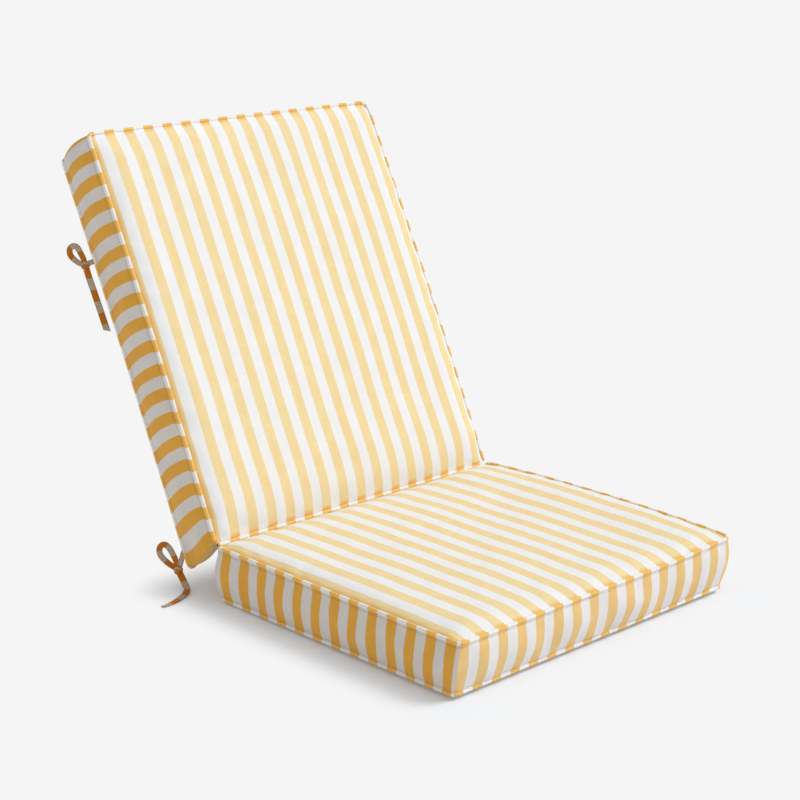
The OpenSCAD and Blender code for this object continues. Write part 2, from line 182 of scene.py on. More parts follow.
def striped_cloth(name, yellow, yellow_light, white, white_dark, stitched):
    """Woven stripe. The attribute 'cloth' holds the distance across the stripes, the distance along them
    and the distance from the nearest seam."""
    tree = Tree(name)
    cloth = tree.add("ShaderNodeAttribute", attribute_name="cloth").outputs["Vector"]
    parts = tree.add("ShaderNodeSeparateXYZ", {0: cloth}).outputs
    across, along, seam = parts[0], parts[1], parts[2]
    # the edge of a stripe steps from thread to thread
    wander = tree.noise(tree.point(across, along), 420.0, 1.0)
    edge = tree.maths("MULTIPLY_ADD", wander, 0.7 * MM, across)
    turn = tree.maths("FRACT", tree.maths("DIVIDE", edge, STRIPE))
    off_centre = tree.maths("ABSOLUTE", tree.maths("SUBTRACT", turn, 0.5))
    is_white = tree.ramp(off_centre, 0.242, 0.258)
    # slubs and uneven dye, drawn out along the warp
    long_slub = tree.noise(tree.point(across, tree.maths("MULTIPLY", along, 0.16)), 900.0, 3.0, 0.6)
    short_slub = tree.noise(tree.point(tree.maths("MULTIPLY", across, 0.22), along), 1100.0, 2.0, 0.6)
    cloudy = tree.noise(tree.point(across, along), 38.0, 3.0, 0.55)
    heather = tree.maths("MULTIPLY_ADD", short_slub, 0.5, tree.maths("MULTIPLY", long_slub, 0.5))
    heather = tree.maths("MULTIPLY_ADD", cloudy, 0.35, tree.maths("MULTIPLY", heather, 0.75))
    tone = tree.ramp(heather, 0.40, 0.68)
    # warp and weft cross as small domes, every other one lower
    warp = tree.maths("SINE", tree.maths("MULTIPLY", across, 2 * math.pi / THREAD))
    weft = tree.maths("SINE", tree.maths("MULTIPLY", along, 2 * math.pi / THREAD))
    weave = tree.maths("MULTIPLY", warp, weft)
    lit_thread = tree.ramp(weave, -0.9, 0.9, 0.0, 0.5)
    gold = tree.mix(tree.maths("ADD", tree.maths("MULTIPLY", tone, 0.6), lit_thread), yellow, yellow_light)
    if not stitched:
        # a face panel turns down to its seam, where its yellow is painted deeper as shade of the roll-off
        turned = tree.ramp(seam, 2.5 * MM, 9 * MM, 0.6, 0.0, smooth=True)
        gold = tree.mix(turned, gold, rgb(226, 168, 66))
    # the white stripe shows faint ribs along its length
    rib = tree.maths("SINE", tree.maths("MULTIPLY", across, 2 * math.pi / (2.9 * MM)))
    ribbed = tree.ramp(tree.maths("MULTIPLY_ADD", rib, 0.22, tone), 0.1, 1.2)
    pale = tree.mix(ribbed, white_dark, white)
    colour = tree.mix(is_white, gold, pale)
    height = tree.maths("MULTIPLY_ADD", weave, 0.35, tree.maths("MULTIPLY", heather, 0.9))
    if stitched:
        # the seam allowance under the cloth ends at a shallow line of stitches beside the piping: a groove
        # dented by the bump and painted darker as shade, in dashes along the stitches
        line = tree.maths("ABSOLUTE", tree.maths("SUBTRACT", seam, 5.2 * MM))
        groove = tree.ramp(line, 0.0, 0.9 * MM, 1.0, 0.0, smooth=True)
        stitch = tree.ramp(tree.maths("SINE", tree.maths("MULTIPLY", across, 2 * math.pi / (3.2 * MM))),
                           -0.8, 0.2, 0.45, 1.0)
        groove = tree.maths("MULTIPLY", groove, stitch)
        groove_painted_shade = tree.mix(tree.maths("MULTIPLY", groove, 0.34), (1, 1, 1, 1), (0.42, 0.30, 0.16, 1))
        tint = tree.add("ShaderNodeMix", data_type="RGBA", blend_type="MULTIPLY")
        for socket, value in ((tint.inputs[0], 1.0), (tint.inputs[6], colour), (tint.inputs[7], groove_painted_shade)):
            tree.put(socket, value)
        colour = tint.outputs[2]
        height = tree.maths("MULTIPLY_ADD", groove, -2.2, height)
    tree.bump(height, 0.6, 0.4 * MM)
    return tree.finish(colour, tree.ramp(heather, 0.3, 0.7, 0.93, 0.82), sheen=0.12, specular=0.2)


def tie_cloth():
    """Folded tape cut across the stripe, so that it shows bands."""
    tree = Tree("tie_tape")
    cloth = tree.add("ShaderNodeAttribute", attribute_name="cloth").outputs["Vector"]
    parts = tree.add("ShaderNodeSeparateXYZ", {0: cloth}).outputs
    along, across = parts[0], parts[1]
    wander = tree.noise(tree.point(along, across), 500.0, 1.0)
    edge_of_band = tree.maths("MULTIPLY_ADD", wander, 1.2 * MM, along)
    turn = tree.maths("FRACT", tree.maths("DIVIDE", edge_of_band, STRIPE))
    off_centre = tree.maths("ABSOLUTE", tree.maths("SUBTRACT", turn, 0.5))
    is_white = tree.ramp(off_centre, 0.235, 0.265)
    slub = tree.noise(tree.point(along, tree.maths("MULTIPLY", across, 0.3)), 900.0, 3.0, 0.6)
    tone = tree.ramp(slub, 0.35, 0.68)
    # the stripe colours are set darker than the cover's own cloth, as painted shade where the ties hang
    # beside the pads
    gold = tree.mix(tone, rgb(172, 94, 14), rgb(206, 126, 34))
    pale = tree.mix(tone, rgb(164, 146, 122), rgb(196, 181, 160))
    colour = tree.mix(is_white, gold, pale)
    # the fold and the stitching along the two edges, painted darker as shade where the tape turns over
    edge = tree.ramp(tree.maths("ABSOLUTE", across), 2.6 * MM, 4.4 * MM)
    colour = tree.mix(tree.maths("MULTIPLY", edge, 0.35), colour, rgb(110, 70, 28))
    weave = tree.maths("MULTIPLY",
                       tree.maths("SINE", tree.maths("MULTIPLY", along, 2 * math.pi / (0.9 * MM))),
                       tree.maths("SINE", tree.maths("MULTIPLY", across, 2 * math.pi / (0.9 * MM))))
    tree.bump(tree.maths("MULTIPLY_ADD", weave, 0.3, slub), 0.4, 0.3 * MM)
    return tree.finish(colour, 0.9, sheen=0.1, specular=0.2)


def speckled(name, dark, light, scale, rough, bump_height, metal=0.0, detail=4.0, sheen=0.0):
    """A plain substance with a fine grain: foam, batting, cord, nylon or metal."""
    tree = Tree(name)
    place = tree.add("ShaderNodeTexCoord").outputs["Object"]
    grain = tree.noise(place, scale, detail, 0.6)
    colour = tree.mix(tree.ramp(grain, 0.35, 0.65), dark, light)
    tree.bump(grain, 0.5, bump_height)
    return tree.finish(colour, tree.ramp(grain, 0.3, 0.7, rough, rough * 0.85), sheen=sheen, metal=metal)


def foam_cells():
    """Open-cell foam: small round cells, their hollows painted darker as shade."""
    tree = Tree("foam")
    place = tree.add("ShaderNodeTexCoord").outputs["Object"]
    cell = tree.add("ShaderNodeTexVoronoi", {"Vector": place, "Scale": 480.0}).outputs["Distance"]
    hollow = tree.ramp(cell, 0.1, 0.6)
    # the hollows are painted darker, as shade in the cells
    colour = tree.mix(hollow, rgb(205, 184, 132), rgb(240, 226, 186))
    tree.bump(hollow, 0.7, 0.8 * MM)
    return tree.finish(colour, 0.95)


def twisted_cord():
    """Cotton piping cord: a slanting twist worked out from the place along each run."""
    tree = Tree("welt_cord")
    place = tree.add("ShaderNodeTexCoord").outputs["Object"]
    wave = tree.add("ShaderNodeTexWave", {"Vector": place, "Scale": 260.0, "Distortion": 3.0, "Detail": 2.0},
                    bands_direction="DIAGONAL").outputs["Fac"]
    colour = tree.mix(wave, rgb(196, 190, 176), rgb(236, 232, 222))
    tree.bump(wave, 0.6, 0.4 * MM)
    return tree.finish(colour, 0.92)


# one cloth in three colourings that paint light and shade: the face panels pale as in full light, the side
# boxings deeper yellow and greyer white as painted shade, the end boxings half shaded
LIT_PANEL_CLOTH = striped_cloth("panel_cloth", rgb(228, 195, 135), rgb(238, 221, 171),
                            rgb(238, 238, 238), rgb(228, 228, 228), False)
SHADED_SIDE_CLOTH = striped_cloth("boxing_cloth", rgb(215, 151, 46), rgb(229, 173, 69),
                           rgb(224, 218, 211), rgb(208, 201, 193), True)
HALF_SHADED_END_CLOTH = striped_cloth("boxing_cloth_ends", rgb(222, 180, 108), rgb(236, 202, 140),
                          rgb(236, 234, 233), rgb(224, 221, 219), True)
PIPING_CLOTH = striped_cloth("piping", rgb(228, 172, 78), rgb(242, 196, 110),
                             rgb(240, 239, 237), rgb(228, 226, 222), False)
SHADED_TIE_TAPE = tie_cloth()
FOAM = foam_cells()
FIBRE = speckled("fibre", rgb(222, 222, 222), rgb(250, 250, 250), 260.0, 0.98, 1.2 * MM,
                 detail=6.0, sheen=0.3)
WELT_CORD = twisted_cord()
ZIP_TAPE = speckled("zip_tape", rgb(214, 208, 196), rgb(236, 232, 222), 900.0, 0.85, 0.2 * MM)
ZIP_COIL = speckled("zip_coil", rgb(222, 218, 206), rgb(240, 238, 230), 500.0, 0.4, 0.05 * MM)
ZIP_METAL = speckled("zip_metal", rgb(150, 150, 152), rgb(196, 196, 200), 700.0, 0.34, 0.03 * MM, metal=1.0)


# ---- mesh helpers ----

def transformed(points, matrix):
    """Points, or directions if the matrix is 3 by 3, put through a matrix."""
    array = np.array(matrix, float)
    moved = np.asarray(points, float) @ array[:3, :3].T
    return moved + array[:3, 3] if array.shape == (4, 4) else moved


def add_object(name, points, faces, material, cloth=None, normals=None, smooth=True):
    """A mesh object with one material. cloth is a vector for each point, normals one for each face
    corner."""
    mesh = bpy.data.meshes.new(name)
    mesh.from_pydata([tuple(p) for p in points], [], [tuple(int(i) for i in f) for f in faces])
    mesh.materials.append(material)
    mesh.polygons.foreach_set("use_smooth", [smooth] * len(mesh.polygons))
    if cloth is not None:
        layer = mesh.attributes.new("cloth", "FLOAT_VECTOR", "POINT")
        layer.data.foreach_set("vector", np.asarray(cloth, np.float32).ravel())
    if normals is not None:
        mesh.normals_split_custom_set([tuple(n) for n in normals])
    obj = bpy.data.objects.new(name, mesh)
    bpy.context.scene.collection.objects.link(obj)
    return obj


def corner_normals(points, faces):
    """Smooth outward normals for each point, weighted by the area of the quads round it."""
    quads = np.asarray(faces)
    across = points[quads[:, 2]] - points[quads[:, 0]]
    other = points[quads[:, 3]] - points[quads[:, 1]]
    flat = np.cross(across, other)
    total = np.zeros_like(points)
    for k in range(4):
        np.add.at(total, quads[:, k], flat)
    return total / np.maximum(np.linalg.norm(total, axis=1, keepdims=True), 1e-12)


def ring_quads(count, around, capped=True):
    """Faces that join rings of points into a tube, with a cap at each end."""
    quads = []
    for i in range(count - 1):
        for k in range(around):
            a, b = i * around, (i + 1) * around
            quads.append((a + k, b + k, b + (k + 1) % around, a + (k + 1) % around))
    if capped:
        quads.append(tuple(range(around)))
        quads.append(tuple(reversed(range((count - 1) * around, count * around))))
    return quads


def waves(points, seed, wavelength):
    """A smooth random field from -1 to 1, as a sum of sine waves."""
    rng = np.random.default_rng(seed)
    total = np.zeros(len(points))
    for _ in range(9):
        way = rng.normal(size=3)
        way /= np.linalg.norm(way)
        length = wavelength * rng.uniform(0.7, 1.6)
        total += np.sin(points @ way * 2 * math.pi / length + rng.uniform(0, 2 * math.pi))
    return total / 4.5


def step(t):
    """0 below 0, 1 above 1, smooth between."""
    t = np.clip(t, 0, 1)
    return t * t * (3 - 2 * t)


def roll(distance, reach):
    """Height of a stuffed edge, from 0 at its seam to 1 at its reach."""
    t = np.clip(distance / reach, 0, 1)
    return (1 - (1 - t) ** 2) ** 0.8


# ---- ties ----

TIE_TURN = math.radians(42)
TIE_WIDTH = 9 * MM
TIE_THICK = 2.6 * MM
UPPER_TIE_AT = 417 * MM
UPPER_KNOT = Vector((13, 0, 0)) * MM
LOWER_KNOT = Vector((16, -21, 5.5)) * MM


def tie_frame(along):
    """A left tie's frame at a place on the rear piping: X out of the corner, Y up the seam, Z to the pad."""
    out = Vector((-math.cos(TIE_TURN), 0, -math.sin(TIE_TURN)))
    up = Vector((0, 1, 0))
    axes = Matrix((out, up, out.cross(up))).transposed().to_4x4()
    axes.translation = (-HALF_W, along, WELT_R - BACK_THICK)
    return BACK_FRAME @ axes


def smooth_path(points, step_length):
    """A curve through the points, in even steps."""
    points = [Vector(p) for p in points]
    ends = [2 * points[0] - points[1]] + points + [2 * points[-1] - points[-2]]
    fine = []
    for i in range(1, len(ends) - 2):
        p0, p1, p2, p3 = ends[i - 1:i + 3]
        for k in range(24):
            t = k / 24
            fine.append(0.5 * (2 * p1 + (p2 - p0) * t + (2 * p0 - 5 * p1 + 4 * p2 - p3) * t ** 2
                               + (3 * p1 - p0 - 3 * p2 + p3) * t ** 3))
    fine = np.array(fine + [points[-1]])
    lengths = np.concatenate([[0], np.cumsum(np.linalg.norm(np.diff(fine, axis=0), axis=1))])
    even = np.linspace(0, lengths[-1], max(3, round(lengths[-1] / step_length) + 1))
    return np.stack([np.interp(even, lengths, fine[:, k]) for k in range(3)], -1), even


def ribbon(points, flat, width, thick, start=0.0, cut_slant=0.0, taper=0.0):
    """Folded tape along a path: points, faces and cloth coordinates. flat is the direction that the tape's
    face looks in, or one for each end of the path."""
    path, even = smooth_path(points, 1.2 * MM)
    tangents = np.gradient(path, axis=0)
    tangents /= np.linalg.norm(tangents, axis=1, keepdims=True)
    share = even / even[-1]
    first, last = (flat, flat) if np.ndim(flat) == 1 else flat
    around = 16
    out, cloth = [], []
    for p, t, u, s in zip(path, tangents, share, even):
        face = np.array(first, float) * (1 - u) + np.array(last, float) * u
        across = np.cross(face, t)
        across /= max(np.linalg.norm(across), 1e-9)
        up = np.cross(t, across)
        narrowing = math.exp(-s / (5 * MM)) + math.exp((s - even[-1]) / (5 * MM))
        half = width / 2 * (1 - taper * narrowing)
        for k in range(around):
            a = 2 * math.pi * k / around
            ca, sa = math.cos(a), math.sin(a)
            # a rounded slab with a slight hollow between its two stitched edges
            x = math.copysign(abs(ca) ** 0.6, ca) * half
            y = math.copysign(abs(sa) ** 0.8, sa) * thick / 2 * (1 - 0.16 * (1 - abs(ca)))
            slant = cut_slant * x * (u > 0.97)
            out.append(p + across * x + up * y + t * slant)
            cloth.append((start + s, x, 0.0))
    return np.array(out), ring_quads(len(path), around), np.array(cloth)


def joined(meshes):
    """Several meshes as one: points, faces and cloth coordinates."""
    points, faces, cloth, count = [], [], [], 0
    for p, f, c in meshes:
        points.append(p)
        cloth.append(c)
        faces += [tuple(i + count for i in face) for face in f]
        count += len(p)
    return np.concatenate(points), faces, np.concatenate(cloth)


def wrap(centre, tilt, size, start, lift):
    """One turn of tape round a knot, as a closed band seen at a tilt."""
    c, s = math.cos(math.radians(tilt)), math.sin(math.radians(tilt))
    along, axis = Vector((c, s, 0)), Vector((-s, c, 0))
    points = []
    for k in range(13):
        a = 2 * math.pi * k / 12
        ring = along * math.cos(a) * size + Vector((0, 0, 1)) * math.sin(a) * size * 0.8
        points.append(Vector(centre) + ring + axis * lift * math.sin(a / 2))
    mesh, cloth = [], []
    for k in range(13):
        a = 2 * math.pi * k / 12
        outward = along * math.cos(a) * 0.8 + Vector((0, 0, 1)) * math.sin(a)
        outward.normalize()
        for j in range(10):
            w = 2 * math.pi * j / 10
            offset = axis * math.copysign(abs(math.cos(w)) ** 0.7, math.cos(w)) * 3.9 * MM \
                + outward * math.sin(w) * 1.3 * MM
            mesh.append(np.array(points[k] + offset))
            cloth.append((start + a * size, math.cos(w) * 3.9 * MM, 0.0))
    return np.array(mesh), ring_quads(13, 10, capped=False), np.array(cloth)


def bow(knot, loop, root):
    """A loop, its knot and the short root that is sewn into the seam, in a tie's frame."""
    knot = Vector(knot)
    at_knot = [tuple(knot + Vector(p) * MM) for p in loop]
    facing = (0.25, 0.1, -1.0)
    meshes = [ribbon(at_knot, (facing, (-0.3, 0.2, -1.0)), 8.2 * MM, 3.2 * MM, start=4 * MM, taper=0.25)]
    meshes.append(ribbon([tuple(Vector(p) * MM) for p in root] + [tuple(knot)], (0.2, 0, -1),
                         7.5 * MM, 2.8 * MM, start=20 * MM))
    meshes.append(wrap(knot, 42, 4.6 * MM, 14 * MM, 1.2 * MM))
    meshes.append(wrap(knot + Vector((0.3, -1.2, -0.8)) * MM, -36, 4.2 * MM, 33 * MM, -1.0 * MM))
    return joined(meshes)


UPPER_LOOP = [(0, 0.5, 1), (-0.2, 9, 0.5), (1.3, 18.3, 0), (3.0, 26, -0.5), (7, 30, -1), (12, 29, -1),
              (14.8, 24.5, -0.5), (14.8, 18.5, 0), (12, 12, 0.5), (7, 5.5, 1), (1, 0.5, 1)]
LOWER_LOOP = [(0, 0.5, 1), (-1, 9, 0.5), (0, 19, 0), (1.8, 29, -0.5), (5, 36.5, -1), (10, 39, -1),
              (15, 36, -0.5), (17, 30, 0), (15.5, 22.5, 0.5), (10.5, 13.5, 1), (4, 5, 1), (1, 0.5, 1)]
UPPER_ROOT = [(-1.5, 1, 0), (4, 1.5, -1)]
LOWER_ROOT = [(0, 1, 0), (5, -6, 0), (11, -15, 3)]
# the upper tail hangs along the seam, in the tie's frame; the lower one curls on the floor, in the row frame
UPPER_TAIL = [(13, -4, 0), (13, -20, 0.5), (12.5, -38, 1), (12, -56, 1), (11.5, -74, 0.5), (11, -94, 0)]
LOWER_TAIL = [(-262, 299, 22), (-262, 293, 15), (-263, 285, 8), (-268, 275, 5), (-279, 266, 3.5),
              (-294, 259, 3), (-310, 254, 3), (-326, 252, 3)]


def add_tie(name, side, bow_mesh, tail_mesh, swings):
    """A bow and its free tail on the tie's own body; side 1 mirrors the left tie to the right."""
    flip = Matrix.Scale(-1, 4, (1, 0, 0)) if side > 0 else Matrix.Identity(4)
    for part, (points, faces, cloth) in (("bow", bow_mesh), ("tail", tail_mesh)):
        if side > 0:
            faces = [tuple(reversed(f)) for f in faces]
        obj = add_object(f"{name}_{part}_tape", transformed(points, flip), faces, SHADED_TIE_TAPE, cloth)
        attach(obj, swings)
        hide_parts(f"{name}_{part}")


def add_ties():
    upper, lower = tie_frame(UPPER_TIE_AT), tie_frame(HINGE_GAP)
    hanging = [tuple(Vector(p) * MM) for p in UPPER_TAIL]
    curled = [tuple(Vector(p) * MM) for p in LOWER_TAIL]
    for level, at, knot, loop, root in (("upper", upper, UPPER_KNOT, UPPER_LOOP, UPPER_ROOT),
                                        ("lower", lower, LOWER_KNOT, LOWER_LOOP, LOWER_ROOT)):
        points, faces, cloth = bow(knot, loop, root)
        bow_mesh = (transformed(points, at), faces, cloth)
        if level == "upper":
            points, faces, cloth = ribbon(hanging, ((0.1, 0, -1), (-0.25, 0, -1)), TIE_WIDTH, TIE_THICK,
                                          start=9 * MM, cut_slant=0.5)
            tail_mesh = (transformed(points, at), faces, cloth)
            tail_path = transformed(smooth_path(hanging, 3 * MM)[0], at)
        else:
            tail_mesh = ribbon(curled, ((-0.5, -0.8, 0.3), (0.1, 0.2, 1)), TIE_WIDTH, TIE_THICK,
                               start=9 * MM)
            tail_path = smooth_path(curled, 3 * MM)[0]
        for side in ("left", "right"):
            name = f"tie_{level}_{side}"
            add_tie(name, 1 if side == "right" else -1, bow_mesh, tail_mesh, name)


add_ties()


# ---- the covers ----

class Pad:
    """One pad's sizes and the shape of its cover, in its pad frame."""

    def __init__(self, name, length, thick, matrix, seed):
        self.name, self.length, self.thick, self.matrix, self.seed = name, length, thick, matrix, seed
        self.is_back = name == "back"
        self.face_crown = 9 * MM
        self.under_crown = 8 * MM if self.is_back else 0
        self.side_bulge = 6.5 * MM
        self.far_bulge = 5 * MM
        # the seat's rear corners push out past its zip
        self.end_bulge = 0 if self.is_back else 7 * MM

    def near(self, c):
        """Distance of the hinge-side wall from the hinge line."""
        return 1.8 * MM + (HINGE_GAP - 1.8 * MM) * step(c / 0.1)

    def corner_radius(self, x):
        """Bend of the piping at the far corners; the back's right one is rounder."""
        return np.where((x > 0) & self.is_back, 14 * MM, 7 * MM)

    def place(self, x, b, c):
        """The rest shape: x across, b from 0 at the hinge to 1, c from 0 at the face to 1 underneath."""
        near = self.near(c)
        v = near + b * (self.length - near)
        ring_depth = WELT_R + (1.8 * MM - WELT_R) * (1 - step(b * self.length / (8 * MM))) * (1 - c)
        n = -ring_depth + c * (-self.thick + WELT_R + ring_depth)
        side = HALF_W - np.abs(x)
        far = self.length - v
        close = v - near
        x_out, v_out = x.copy(), v.copy()
        # corners rounded to the piping's bend; the face has none at the hinge
        for gap, outward, share, r in ((far, 1, np.ones_like(c), self.corner_radius(x)),
                                       (close, -1, step(c / 0.15), np.full_like(c, CORNER_R))):
            inside = (side < r) & (gap < r)
            qx, qv = r - side, r - gap
            scale = np.maximum(qx, qv) / np.maximum(np.hypot(qx, qv), 1e-9)
            scale = np.where(inside, 1 + (scale - 1) * share, 1)
            x_out = np.where(inside, np.sign(x) * (HALF_W - r + qx * scale), x_out)
            v_out = np.where(inside, v + outward * qv * (scale - 1), v_out)
        # stuffing pushes the boxing out between its two seams
        depth = np.sin(np.pi * np.clip(c, 0, 1)) ** 0.75
        on_side = side < 1e-6
        on_end = far < 1e-6
        on_near = close < 1e-6
        past_zip = step((np.abs(x) - SLOT_HALF_X) / (HALF_W - SLOT_HALF_X))
        by_corner = 0.75 + 0.25 * step(np.minimum(far, close) / (60 * MM))
        by_corner += 0.5 * (1 - step(close / (70 * MM))) * (not self.is_back)
        x_out += np.where(on_side, np.sign(x) * self.side_bulge * depth * by_corner, 0)
        v_out += np.where(on_end, self.far_bulge * depth * (0.6 + 0.4 * step(side / (60 * MM))), 0)
        v_out -= np.where(on_near, self.end_bulge * depth * past_zip, 0)
        # crowns of the face and of the side underneath
        side_roll = np.where((x > 0) & (not self.is_back), 95 * MM, 30 * MM)
        crown = self.face_crown * roll(side, side_roll) * roll(far, 38 * MM) * roll(close, 45 * MM)
        crown += 2.5 * MM * step(side / (170 * MM)) * step(far / (170 * MM)) * step(close / (120 * MM))
        if self.is_back:
            belly = 3 * MM * np.exp(-(((v - 55 * MM) / (45 * MM)) ** 2))
            crown += belly * roll(side, 60 * MM) * roll(close, 30 * MM)
        under = self.under_crown * roll(side, 26 * MM) * roll(far, 26 * MM) * roll(close, 26 * MM)
        is_face, is_under = c < 1e-6, c > 1 - 1e-6
        n_out = n + np.where(is_face, crown, 0) - np.where(is_under, under, 0)
        # unevenness of a filled cover, away from the seams and the zip
        loose = waves(np.stack([x, v, n], -1), self.seed, 110 * MM)
        soft = roll(side, 40 * MM) * roll(far, 40 * MM) * step(close / (60 * MM))
        n_out += np.where(is_face, 1, np.where(is_under & self.is_back, -1, 0)) * loose * 0.9 * MM * soft
        x_out += np.where(on_side, np.sign(x), 0) * loose * 1.2 * MM * depth
        v_out += np.where(on_end, 1, 0) * loose * 0.9 * MM * depth
        settle_shape = self.slump if self.is_back else self.sit
        return np.stack(settle_shape(x, b, c, x_out, v_out, n_out), -1)

    def sit(self, x, b, c, x_out, v_out, n_out):
        """The seat on the floor: its lower seam stands off the floor and tucks in at the front, its
        underside is flat, and its right edge stands higher than the left."""
        inward = np.minimum(HALF_W - np.abs(x), np.minimum(1 - b, b) * self.length)
        raised = (1.5 + 3 * b) * MM
        under = c > 1 - 1e-6
        n_out = n_out + raised * c - np.where(under, (raised + WELT_R) * roll(inward, 30 * MM), 0)
        v_out = v_out - 10 * MM * b ** 8 * c ** 2
        right = step((x - 130 * MM) / (HALF_W - 130 * MM))
        along = 0.3 + 0.7 * np.sqrt(np.sin(np.pi * np.clip(b, 0, 1)))
        n_out = n_out + (9 * MM * right * along + 1.5 * MM * b * right) * (1 - c)
        x_out = x_out + 2.5 * MM * right * np.sin(np.pi * b) * (1 - c)
        return x_out, v_out, n_out

    def slump(self, x, b, c, x_out, v_out, n_out):
        """The back's weight: its rear slips down, its lower rear corners sag, its middle bows forward and
        its top slopes a little to the right."""
        along = b * self.length
        across = (x + HALF_W) / (2 * HALF_W)
        bowed = 3 * MM * 4 * c * (1 - c) * step(along / (60 * MM))
        down = bowed - 7 * MM * c - 3 * MM * c * step((b - 0.9) / 0.1)
        corner = step((np.abs(x) - SLOT_HALF_X) / (HALF_W - 10 * MM - SLOT_HALF_X))
        on_side = 1 - step((HALF_W - np.abs(x)) / (30 * MM)) * (1 - step(along / (40 * MM)))
        sag = (16 * MM * c + 8 * MM * np.sin(np.pi * c)) * (1 - (1 - np.clip(c / 0.4, 0, 1)) ** 2)
        reach = (26 + 34 * c) * MM
        stays = 1 - (1 - corner) * np.exp(-along / (20 * MM)) * (c > 0.05)
        v_out = v_out + down * stays * on_side - sag * corner * np.exp(-along / reach)
        v_out = v_out - 5.5 * MM * across * b
        x_out = x_out - np.where(x > 0, 5 * MM * b * x / HALF_W, 0)
        n_out = n_out + 4 * MM * np.sin(np.pi * b)
        return x_out, v_out, n_out


def spaced(edges, low, high, pitch):
    """Places from low to high: the edge distances at both ends, and even steps of about the pitch
    between."""
    count = max(1, round((high - low - 2 * edges[-1]) / pitch))
    middle = np.linspace(low + edges[-1], high - edges[-1], count + 1)
    return np.concatenate([low + np.array(edges[:-1]), middle, (high - np.array(edges[:-1]))[::-1]])


PARTS = ("face", "under", "left", "right", "far",
         "near_upper", "near_lower", "near_left", "near_right", "slot")


def lattice(pad):
    """The box of grid points round a pad: places, quads and each quad's part."""
    corner_steps = [0, 3 * MM, 7 * MM, 13 * MM, 21 * MM, 32 * MM]
    xs = spaced(corner_steps + [HALF_W - SLOT_HALF_X], -HALF_W, HALF_W, 12 * MM)
    bs = spaced(corner_steps[:5], 0, pad.length, 12 * MM) / pad.length
    wall = pad.thick - 2 * WELT_R
    half_slot = SLOT_HALF_N / wall
    upper = np.array([0, 3 * MM, 7 * MM, 14 * MM, 23 * MM]) / wall
    cs = np.concatenate([upper, [0.5 - half_slot, 0.5, 0.5 + half_slot], (1 - upper)[::-1]])
    last = (len(xs) - 1, len(bs) - 1, len(cs) - 1)
    index, rows = {}, []
    for i in range(last[0] + 1):
        for j in range(last[1] + 1):
            for k in range(last[2] + 1):
                if i in (0, last[0]) or j in (0, last[1]) or k in (0, last[2]):
                    index[i, j, k] = len(rows)
                    rows.append((xs[i], bs[j], cs[k]))
    quads, parts = [], []

    def wall_quads(axis, at, flip, part_of):
        first, second = [a for a in range(3) if a != axis]
        for p in range(last[first]):
            for q in range(last[second]):
                ring = []
                for dp, dq in ((0, 0), (1, 0), (1, 1), (0, 1)):
                    key = [0, 0, 0]
                    key[axis], key[first], key[second] = at, p + dp, q + dq
                    ring.append(index[tuple(key)])
                quads.append(ring[::-1] if flip else ring)
                parts.append(PARTS.index(part_of(p, q)))

    def near_part(i, k):
        depth, across = 0.5 * (cs[k] + cs[k + 1]), 0.5 * (xs[i] + xs[i + 1])
        if abs(across) > SLOT_HALF_X:
            return "near_left" if across < 0 else "near_right"
        if abs(depth - 0.5) < half_slot:
            return "slot"
        return "near_upper" if depth < 0.5 else "near_lower"

    # c grows inwards from the face, so quads on the face turn the other way round
    wall_quads(2, 0, False, lambda p, q: "face")
    wall_quads(2, last[2], True, lambda p, q: "under")
    wall_quads(0, 0, False, lambda p, q: "left")
    wall_quads(0, last[0], True, lambda p, q: "right")
    wall_quads(1, 0, True, near_part)
    wall_quads(1, last[1], False, lambda p, q: "far")
    return np.array(rows), np.array(quads), np.array(parts)


def seam_edges(quads, parts):
    """Edges where two parts meet, apart from those within the hinge-side wall."""
    same = {i: 100 for i, name in enumerate(PARTS) if name == "slot" or name.startswith("near")}
    seen, seams = {}, set()
    for quad, part in zip(quads, parts):
        part = same.get(part, part)
        for k in range(4):
            edge = tuple(sorted((int(quad[k]), int(quad[(k + 1) % 4]))))
            if edge in seen and seen[edge] != part:
                seams.add(edge)
            seen[edge] = part
    return seams


CLOTH_PRESSURE = 4
CLOTH_FRAMES = 20
CLOTH_CAP = 1.3 * MM


def inflate(obj, pinned, cap):
    """Runs cloth under pressure with its seams pinned, and keeps each point within cap of its start."""
    rest = np.array([v.co for v in obj.data.vertices], float)
    group = obj.vertex_groups.new(name="seams")
    group.add(sorted(pinned), 1.0, "REPLACE")
    modifier = obj.modifiers.new("inflate", "CLOTH")
    settings = modifier.settings
    settings.quality = 6
    settings.mass = 0.3
    settings.tension_stiffness = settings.compression_stiffness = 12
    settings.shear_stiffness = 6
    settings.bending_stiffness = 0.4
    settings.shrink_min = -0.03
    settings.use_pressure = True
    settings.uniform_pressure_force = CLOTH_PRESSURE
    settings.effector_weights.gravity = 0
    settings.vertex_group_mass = group.name
    settings.pin_stiffness = 1.0
    modifier.collision_settings.use_collision = False
    scene = bpy.context.scene
    for number in range(1, CLOTH_FRAMES + 1):
        scene.frame_set(number)
    graph = bpy.context.evaluated_depsgraph_get()
    moved = np.array([v.co for v in obj.evaluated_get(graph).data.vertices], float)
    obj.modifiers.remove(modifier)
    scene.frame_set(1)
    change = moved - rest
    size = np.maximum(np.linalg.norm(change, axis=1, keepdims=True), 1e-9)
    return rest + change * cap * np.tanh(size / cap) / size


def held_points(pad, rows, quads, parts, seams):
    """What the simulation leaves alone: seams, the hinge-side wall, and the seat's underside."""
    held = {i for edge in seams for i in edge}
    zip_parts = [i for i, name in enumerate(PARTS) if name == "slot" or name.startswith("near")]
    held |= set(quads[np.isin(parts, zip_parts)].ravel().tolist())
    if not pad.is_back:
        held |= set(np.nonzero(rows[:, 2] > 1 - 1e-6)[0].tolist())
    return {int(i) for i in held}


